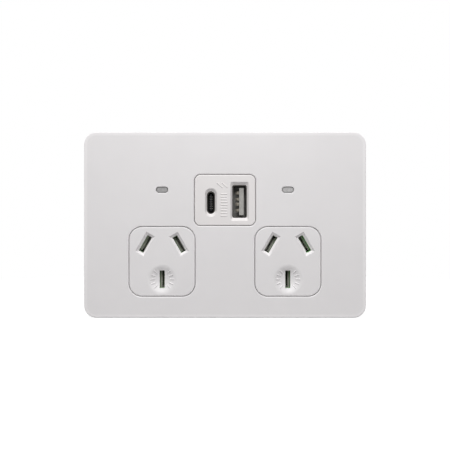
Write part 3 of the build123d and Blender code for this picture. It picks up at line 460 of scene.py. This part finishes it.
# %% Metals
ALONG_Y, ALONG_Z = (1, 4, 1), (1, 1, 4)
METALS = {  # columns as for the whites, then how metallic it is and which way its streaks run
    "jaw_brass": ((0.80, 0.80, 0.74), 2, 0.12, (0.40, 0.55), 0.30, 0.004, 0.3, ALONG_Y),
    "terminal_brass": ((0.66, 0.46, 0.20), 3, 0.20, (0.25, 0.40), 0.30, 0.004, 1.0, ALONG_Y),
    "contact_gold": ((0.62, 0.57, 0.48), 1, 0.10, (0.40, 0.50), 0.10, 0.002, 0.3, EVEN),
    # shell_steel is nearly black as painted shade of the ports' inside
    "shell_steel": ((0.05, 0.047, 0.043), 2, 0.15, (0.35, 0.50), 0.20, 0.003, 1.0, ALONG_Y),
    "screw_steel": ((0.58, 0.57, 0.55), 1.5, 0.15, (0.25, 0.40), 0.15, 0.004, 1.0, EVEN),
    "lever_steel": ((0.60, 0.60, 0.61), 2, 0.12, (0.20, 0.35), 0.20, 0.003, 1.0, ALONG_Z),
    "can_silver": ((0.70, 0.70, 0.71), 2, 0.08, (0.25, 0.35), 0.20, 0.003, 1.0, ALONG_Y),
}

finishes.update({name: clouded(name, *row) for name, row in METALS.items()})
print("finishes so far:", len(finishes))

# %% [markdown]
# The charger's parts each have their own skin: solder mask on the board, printed sleeves on the
# capacitors, dipped epoxy on the discs, tape on the transformer and bare pressed powder on its core.
# The black cans are written grey, because their sleeve's stripe is the grey and the bands below
# make the rest black.

# %% Charger parts
CHARGER = {  # columns as for the whites
    "board_green": ((0.05, 0.22, 0.11), 1.2, 0.25, (0.25, 0.40), 0.50, 0.010),
    "ferrite_grey": ((0.07, 0.07, 0.075), 1, 0.30, (0.50, 0.70), 0.20, 0.020),
    "tape_yellow": ((0.70, 0.48, 0.06), 1.5, 0.10, (0.20, 0.35), 0.60, 0.020),
    "can_black": ((0.45, 0.45, 0.43), 3, 0.15, (0.25, 0.35), 0.40, 0.006),
    "cap_yellow": ((0.72, 0.50, 0.08), 2, 0.08, (0.30, 0.40), 0.40, 0.008),
    "disc_blue": ((0.04, 0.14, 0.40), 1, 0.15, (0.25, 0.35), 0.60, 0.020),
    "disc_orange": ((0.62, 0.22, 0.03), 1, 0.15, (0.25, 0.35), 0.60, 0.020),
    "fuse_tan": ((0.50, 0.36, 0.20), 1, 0.12, (0.40, 0.50), 0.30, 0.012),
    "chip_black": ((0.022, 0.022, 0.024), 0.8, 0.30, (0.50, 0.60), 0.10, 0.006),
    "led_white": ((0.78, 0.77, 0.70), 0.8, 0.05, (0.30, 0.40), 0.20, 0.004),
}

finishes.update({name: clouded(name, *row) for name, row in CHARGER.items()})
print("finishes:", len(finishes))

# %% [markdown]
# Some of these skins carry stripes: the lap of a tape, the printed stripe of a can, the tracks under
# the solder mask. A stripe could be a thin solid of its own. As a tint it needs no mesh: points are
# folded to and fro between evenly spaced planes, and the ones near a plane take the stripe's tint.

# %% Stripes on the charger parts
STRIPES = {  # axis, pitch and offset in mm, half width as a share, tint on the stripe and beside it
    "tape_yellow": ("Z", 3.2, 0.0, 0.08, (0.72, 0.66, 0.55), PLAIN),
    "can_black": ("X", 9.0, -13.5, 0.22, PLAIN, (0.07, 0.07, 0.08)),
    "can_silver": ("X", 8.0, 13.0, 0.20, (0.25, 0.25, 0.27), PLAIN),
    "board_green": ("X", 2.54, 0.0, 0.24, PLAIN, (0.4, 0.5, 0.45)),
    "cap_yellow": ("Z", 13.0, 0.5, 0.03, (0.82, 0.80, 0.75), PLAIN),
}
STRIPE_FADE = 0.8  # share of the half width at which a stripe starts to fade

for name, (axis, pitch, offset, width, stripe, beside) in STRIPES.items():
    tree = finishes[name].node_tree
    place = maths(tree, "SUBTRACT", coordinate(tree, axis), offset * MM)
    folded = maths(tree, "PINGPONG", place, pitch / 2 * MM)
    reach = maths(tree, "DIVIDE", folded, pitch / 2 * MM)
    tint(tree, blend(tree, reach, stripe, beside, STRIPE_FADE * width, width))
print("finishes with stripes:", sorted(STRIPES))

# %% [markdown]
# Every solid came with one slot, named after its surface. Each slot now takes its finish. The solids
# themselves stay as they are.

# %% Put the finishes on
for node in nodes.values():
    for slot in node.material_slots:
        slot.material = finishes[slot.material.name.split(".")[0]]
print("nodes with a finish:", sum(1 for node in nodes.values() if node.material_slots))

# %% [markdown]
# Moulded parts keep small marks of their making. Round pins push each moulding out of its mould, and
# every pin leaves a low round land. Lands could be painted on as bump, but a real one catches light at
# its rim, so each is a flat disc with a bevelled rim. They sit on the front of the frame and on the
# inside of the cover, out of sight until the cover comes off.

# %% Ejector lands
LAND_R = 2.2 * MM
LAND_H = 0.12 * MM
LAND_ROUND = 0.4 * LAND_H
LAND_SIDES = 40
LANDS = {  # body, slot, depth of the face in mm, way it looks along Y, places in mm on both sides
    "frame_lands": ("base", "frame_white", -3.0, -1, [(36, 27), (47, -8), (5, -24)]),
    "cover_lands": ("cover", "cover_white", -5.5, 1, [(33, 27), (48, 9), (47, -31), (6, -20)]),
}
UPRIGHT = Matrix.Rotation(math.radians(90), 4, "X")  # turns a shape made flat to face along Y


def round_edges(mesh, edges, offset):
    """Bevel edges of a mesh with two steps."""
    bmesh.ops.bevel(mesh, geom=edges, offset=offset, affect="EDGES", segments=2, profile=0.5,
                    material=-1)


def finish_piece(name, mesh, body, slot):
    """Object of a finished mesh, riding on a body, with the finish of a slot."""
    bmesh.ops.recalc_face_normals(mesh, faces=mesh.faces)
    data = bpy.data.meshes.new(name)
    mesh.to_mesh(data)
    mesh.free()
    data.materials.append(finishes[slot])
    piece = bpy.data.objects.new(name, data)
    scene.collection.objects.link(piece)
    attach(piece, body)
    print(name, "rides on", body, "with", len(data.polygons), "faces")


for name, (body, slot, depth, way, places) in LANDS.items():
    lands = bmesh.new()
    middle_y = depth * MM + way * LAND_H / 2
    for x, z in places:
        for side in (-1, 1):
            stand = Matrix.Translation((side * x * MM, middle_y, z * MM)) @ UPRIGHT
            bmesh.ops.create_cone(lands, cap_ends=True, segments=LAND_SIDES, radius1=LAND_R,
                                  radius2=LAND_R, depth=LAND_H, matrix=stand)
    rims = [
        edge for edge in lands.edges if all(way * (vert.co.y - middle_y) > 0 for vert in edge.verts)
    ]
    round_edges(lands, rims, LAND_ROUND)
    finish_piece(name, lands, body, slot)

# %% [markdown]
# The back of the housing has a sunken panel. A mould often carries two round date dials there: a ring,
# twelve short ticks and a pointer, with no words. The ring is a small profile spun round the dial's
# axis. The ticks and the pointer are low bars, bevelled so that their edges catch light.

# %% Mould dials on the housing
PANEL_IN = 0.4 * MM
DIAL_X, DIAL_Z = 17.0 * MM, 9.0 * MM
DIAL_R = 3.2 * MM
DIAL_WALL = 0.4 * MM
DIAL_H = 0.28 * MM
DIAL_STEPS = 64
DIAL_PROFILE = ((0, 0), (0, 0.7), (0.3, 1), (0.7, 1), (1, 0.7), (1, 0))  # shares of wall and height
TICKS = 12
TICK_OUT, TICK_L, TICK_W = 0.72 * DIAL_R, 0.9 * MM, 0.22 * MM
POINTER_L, POINTER_W = 3.0 * MM, 0.5 * MM
POINTER_TURNS = {-1: -35, 1: 105}  # degrees, on the left and on the right dial
BAR_EDGE = 0.06 * MM

house_low, house_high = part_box("rear_housing")
dials = bmesh.new()
for side, pointer_turn in POINTER_TURNS.items():
    centre = Vector((side * DIAL_X, house_high.y - PANEL_IN, DIAL_Z))
    corners = [Vector((DIAL_R + a * DIAL_WALL, b * DIAL_H, 0)) for a, b in DIAL_PROFILE]
    ring = [dials.verts.new(centre + corner) for corner in corners]
    ring += [dials.edges.new(pair) for pair in zip(ring, ring[1:] + ring[:1])]
    bmesh.ops.spin(dials, geom=ring, cent=centre, axis=(0, 1, 0), angle=2 * math.pi, steps=DIAL_STEPS,
                   use_merge=True)
    bars = [(TICK_OUT, TICK_L, TICK_W, number * 360 / TICKS) for number in range(TICKS)]
    bars.append((0.0, POINTER_L, POINTER_W, pointer_turn))
    for out, length, width, turn in bars:
        stand = Matrix.Translation(centre + Vector((0, DIAL_H / 2, 0)))
        stand = stand @ Matrix.Rotation(math.radians(turn), 4, "Y") @ Matrix.Translation((out, 0, 0))
        size = Matrix.Diagonal((length, DIAL_H, width, 1))
        bar = bmesh.ops.create_cube(dials, size=1.0, matrix=stand @ size)
        edges = list(dict.fromkeys(edge for vert in bar["verts"] for edge in vert.link_edges))
        round_edges(dials, edges, BAR_EDGE)
finish_piece("mould_dials", dials, "base", "housing_white")

# %% [markdown]
# The housing is pushed onto the frame before its screws are driven, and six catches hold it till then:
# a loop on the housing snaps over a wedge on the frame. A loop is a grid of three by three cells with
# the middle cell taken out, extruded to its thickness and bevelled. Each is made flat, with Z pointing
# off the wall, and its stand turns it to the wall that it belongs to.

# %% Loops of the catches
CATCH_W, CATCH_L, CATCH_T = 9.0 * MM, 12.0 * MM, 0.9 * MM
CATCH_FORWARD = 1.5 * MM  # from the joint to the middle of a loop
CATCH_TOP_X, CATCH_LOW_X, CATCH_SIDE_Z = 20.0 * MM, 24.0 * MM, 4.0 * MM
CATCH_EDGE = 0.15 * MM
SHARP = 0.5  # radians between two faces

catch_y = house_low.y - CATCH_FORWARD
catch_places = [  # x, z and the turn about Y, in degrees, that points Z off the wall
    (-CATCH_TOP_X, house_high.z, 0),
    (CATCH_TOP_X, house_high.z, 0),
    (-CATCH_LOW_X, house_low.z, 180),
    (CATCH_LOW_X, house_low.z, 180),
    (house_high.x, CATCH_SIDE_Z, 90),
    (house_low.x, CATCH_SIDE_Z, -90),
]
catch_stands = [
    Matrix.Translation((x, catch_y, z)) @ Matrix.Rotation(math.radians(turn), 4, "Y")
    for x, z, turn in catch_places
]


def thicken(mesh, faces, way):
    """Extrude faces into a closed slab."""
    grown = bmesh.ops.extrude_face_region(mesh, geom=faces)
    raised = [item for item in grown["geom"] if isinstance(item, bmesh.types.BMVert)]
    bmesh.ops.translate(mesh, verts=raised, vec=way)


def soften(mesh, offset):
    """Bevel every sharp edge of a closed mesh."""
    bmesh.ops.recalc_face_normals(mesh, faces=mesh.faces)
    round_edges(mesh, [edge for edge in mesh.edges if edge.calc_face_angle() > SHARP], offset)


loops = bmesh.new()
for stand in catch_stands:
    size = Matrix.Diagonal((CATCH_W, CATCH_L, 1, 1))
    grid = bmesh.ops.create_grid(loops, x_segments=3, y_segments=3, size=0.5, matrix=stand @ size)
    cells = list(dict.fromkeys(face for vert in grid["verts"] for face in vert.link_faces))
    window = min(cells, key=lambda face: (face.calc_center_median() - stand.translation).length)
    cells.remove(window)
    bmesh.ops.delete(loops, geom=[window], context="FACES_ONLY")
    thicken(loops, cells, stand.to_3x3() @ Vector((0, 0, CATCH_T)))
soften(loops, CATCH_EDGE)
finish_piece("housing_catches", loops, "base", "housing_white")

# %% [markdown]
# A wedge stands in the window of each loop, on the frame's side of the joint. It is a block whose top
# edge on the housing's side is pushed forward, so that the loop can ride up over it and snap down.

# %% Wedges of the catches
WEDGE_W, WEDGE_L, WEDGE_T = 2.4 * MM, 2.8 * MM, 0.7 * MM
WEDGE_SLOPE = 0.7 * WEDGE_L
WEDGE_EDGE = 0.09 * MM

wedges = bmesh.new()
for stand in catch_stands:
    seat = stand @ Matrix.Translation((0, 0, WEDGE_T / 2))
    size = Matrix.Diagonal((WEDGE_W, WEDGE_L, WEDGE_T, 1))
    block = bmesh.ops.create_cube(wedges, size=1.0, matrix=seat @ size)
    to_flat = seat.inverted()
    flat = {vert: to_flat @ vert.co for vert in block["verts"]}
    top_edge = [vert for vert, place in flat.items() if place.y > 0 and place.z > 0]
    bmesh.ops.translate(wedges, verts=top_edge, vec=(0, -WEDGE_SLOPE, 0))
soften(wedges, WEDGE_EDGE)
finish_piece("frame_wedges", wedges, "base", "frame_white")

# %% [markdown]
# Where the housing meets the frame, its rim carries a low bead that stiffens the thin wall and hides
# the joint. Four bars and four quarter rings would do. One flat face as large as the outline does it
# with fewer steps: its corners are rounded, it is inset, its middle is taken out and the rest is
# extruded.

# %% Bead round the housing's rim
BODY_CORNER = 3.0 * MM
CORNER_STEPS = 8
BEAD_W = 0.9 * MM
BEAD_H = 0.35 * MM  # off the wall
BEAD_BITE = 0.2 * MM  # into the wall
BEAD_EDGE = 0.12 * MM

house_middle = 0.5 * (house_low + house_high)
outline = house_high - house_low
stand = Matrix.Translation((house_middle.x, house_low.y, house_middle.z)) @ UPRIGHT
size = Matrix.Diagonal((outline.x + 2 * BEAD_H, outline.z + 2 * BEAD_H, 1, 1))
bead = bmesh.new()
bmesh.ops.create_grid(bead, x_segments=1, y_segments=1, size=0.5, matrix=stand @ size)
bmesh.ops.bevel(bead, geom=bead.verts[:], offset=BODY_CORNER + BEAD_H, affect="VERTICES",
                segments=CORNER_STEPS, profile=0.5, material=-1)
bmesh.ops.inset_region(bead, faces=bead.faces[:], thickness=BEAD_H + BEAD_BITE, use_boundary=True,
                       use_even_offset=True)
middle = max(bead.faces, key=lambda face: face.calc_area())
bmesh.ops.delete(bead, geom=[middle], context="FACES_ONLY")
thicken(bead, bead.faces[:], (0, BEAD_W, 0))
soften(bead, BEAD_EDGE)
finish_piece("parting_bead", bead, "base", "housing_white")
